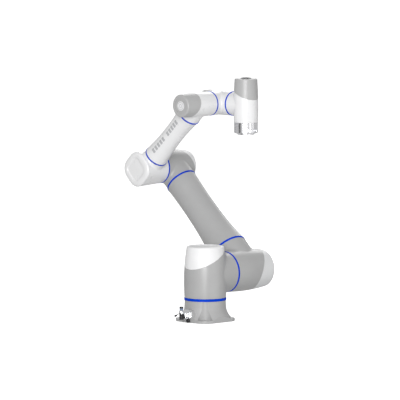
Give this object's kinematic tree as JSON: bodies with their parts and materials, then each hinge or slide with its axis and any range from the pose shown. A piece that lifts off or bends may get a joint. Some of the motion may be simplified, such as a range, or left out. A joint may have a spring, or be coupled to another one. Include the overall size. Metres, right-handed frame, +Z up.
{
  "type": "collaborative robot arm",
  "caption": "Six-axis collaborative robot arm with cast housings, slanted caps, coloured joint rings, a square bolt-down foot and a round tool flange.",
  "frame": {"origin": "centre of the foot's underside, on the first joint axis", "axes": "+Z up along the first joint axis; +X forward, the way the arm reaches; +Y along joint axes 2, 3 and 4, from the turret towards the upper arm"},
  "size_m": [0.5218, 0.4458, 0.8761],
  "materials": {
    "grey_casting": "satin painted die casting",
    "white_casting": "gloss painted die casting",
    "white_cap": "gloss moulded cover",
    "pale_grey_cap": "satin moulded cover",
    "mid_grey_cap": "satin moulded cover",
    "blue_elastomer": "smooth moulded ring",
    "bright_flange": "turned and polished",
    "chrome_trim": "plated",
    "black_plastic": "moulded",
    "blue_grey_plastic": "moulded",
    "badge_plastic": "plain round disc",
    "copper_winding": "lacquered winding",
    "drive_steel": "ground",
    "cover_sheet": "pressed plate"
  },
  "bodies": {
    "base": {"base_casting": "grey_casting", "base_cover": "cover_sheet", "connector_plate": "chrome_trim", "coupling_nut": "black_plastic", "dust_cap": "black_plastic", "gland_cap": "black_plastic", "j1_ring": "blue_elastomer", "plate_screws": "chrome_trim", "plug_body": "black_plastic", "plug_elbow": "chrome_trim", "plug_gland": "blue_grey_plastic", "receptacle": "chrome_trim", "tether_cap": "black_plastic"},
    "turret": {"j1_motor_stator": "copper_winding", "j1_output_bearing": "blue_elastomer", "j1_strain_gear": "drive_steel", "j2_ring": "blue_elastomer", "turret_cap": "white_cap", "turret_casting": "grey_casting"},
    "upper_arm": {"elbow_cap": "pale_grey_cap", "elbow_housing": "grey_casting", "j2_motor_stator": "copper_winding", "j2_output_bearing": "blue_elastomer", "j2_strain_gear": "drive_steel", "j3_motor_stator": "copper_winding", "j3_output_bearing": "blue_elastomer", "j3_strain_gear": "drive_steel", "shoulder_cap": "pale_grey_cap", "shoulder_housing": "grey_casting", "upper_arm_rings": "blue_elastomer", "upper_arm_tube": "grey_casting"},
    "forearm": {"forearm_elbow_cap": "white_cap", "forearm_elbow_housing": "white_casting", "forearm_rings": "blue_elastomer", "forearm_tube": "white_casting", "forearm_wrist_cap": "mid_grey_cap", "forearm_wrist_housing": "white_casting", "j3_ring": "blue_elastomer", "j4_motor_stator": "copper_winding", "j4_strain_gear": "drive_steel", "round_badge": "badge_plastic"},
    "wrist_1": {"j4_ring": "blue_elastomer", "j5_motor_stator": "copper_winding", "j5_strain_gear": "drive_steel", "wrist_1_cap": "mid_grey_cap", "wrist_1_housing": "white_casting"},
    "wrist_2": {"j5_ring": "blue_elastomer", "j6_motor_stator": "copper_winding", "j6_strain_gear": "drive_steel", "wrist_2_cap": "mid_grey_cap", "wrist_2_housing": "white_casting"},
    "wrist_3": {"tool_connectors": "chrome_trim", "tool_flange": "bright_flange"},
    "button": {"push_button": "black_plastic"},
    "rotor_1": {"j1_motor_rotor": "drive_steel"},
    "rotor_2": {"j2_motor_rotor": "drive_steel"},
    "rotor_3": {"j3_motor_rotor": "drive_steel"},
    "rotor_4": {"j4_motor_rotor": "drive_steel"},
    "rotor_5": {"j5_motor_rotor": "drive_steel"},
    "rotor_6": {"j6_motor_rotor": "drive_steel"}
  },
  "joints": [
    {"name": "joint_1", "type": "hinge", "parent": "base", "child": "turret", "pos_m": [0, 0, 0.083], "axis": [0, 0, 1], "range_deg": [-360, 360]},
    {"name": "joint_2", "type": "hinge", "parent": "turret", "child": "upper_arm", "pos_m": [0, 0.1015, 0.1705], "axis": [0, 1, 0], "range_deg": [-360, 360]},
    {"name": "joint_3", "type": "hinge", "parent": "upper_arm", "child": "forearm", "pos_m": [-0.37016, 0.125, 0.52423], "axis": [0, 1, 0], "range_deg": [-240, 48]},
    {"name": "joint_4", "type": "hinge", "parent": "forearm", "child": "wrist_1", "pos_m": [-0.10816, 0.1285, 0.77548], "axis": [0, 1, 0], "range_deg": [-360, 360]},
    {"name": "joint_5", "type": "hinge", "parent": "wrist_1", "child": "wrist_2", "pos_m": [-0.04566, 0.191, 0.77548], "axis": [1, 0, 0], "range_deg": [-360, 360]},
    {"name": "joint_6", "type": "hinge", "parent": "wrist_2", "child": "wrist_3", "pos_m": [0.01684, 0.191, 0.71188], "axis": [0, 0, 1], "range_deg": [-360, 360]},
    {"name": "push_button_press", "type": "slide", "parent": "wrist_2", "child": "button", "axis": [0, 0, -1], "range_m": [0, 0.0012], "stiffness_N_per_m": 1500},
    {"name": "rotor_1_spin", "type": "hinge", "parent": "turret", "child": "rotor_1", "pos_m": [0, 0, 0.1], "axis": [0, 0, 1], "continuous": true},
    {"name": "rotor_2_spin", "type": "hinge", "parent": "upper_arm", "child": "rotor_2", "pos_m": [0, 0.13, 0.1705], "axis": [0, 1, 0], "continuous": true},
    {"name": "rotor_3_spin", "type": "hinge", "parent": "upper_arm", "child": "rotor_3", "pos_m": [-0.37016, 0.15, 0.52423], "axis": [0, 1, 0], "continuous": true},
    {"name": "rotor_4_spin", "type": "hinge", "parent": "forearm", "child": "rotor_4", "pos_m": [-0.10816, 0.1, 0.77548], "axis": [0, 1, 0], "continuous": true},
    {"name": "rotor_5_spin", "type": "hinge", "parent": "wrist_1", "child": "rotor_5", "pos_m": [-0.06816, 0.191, 0.77548], "axis": [1, 0, 0], "continuous": true},
    {"name": "rotor_6_spin", "type": "hinge", "parent": "wrist_2", "child": "rotor_6", "pos_m": [0.01684, 0.191, 0.73548], "axis": [0, 0, 1], "continuous": true}
  ],
  "couplings": [
    {"joint": "rotor_1_spin", "follows": "joint_1", "ratio": -101},
    {"joint": "rotor_2_spin", "follows": "joint_2", "ratio": -101},
    {"joint": "rotor_3_spin", "follows": "joint_3", "ratio": 101},
    {"joint": "rotor_4_spin", "follows": "joint_4", "ratio": 101},
    {"joint": "rotor_5_spin", "follows": "joint_5", "ratio": 101},
    {"joint": "rotor_6_spin", "follows": "joint_6", "ratio": 101}
  ]
}
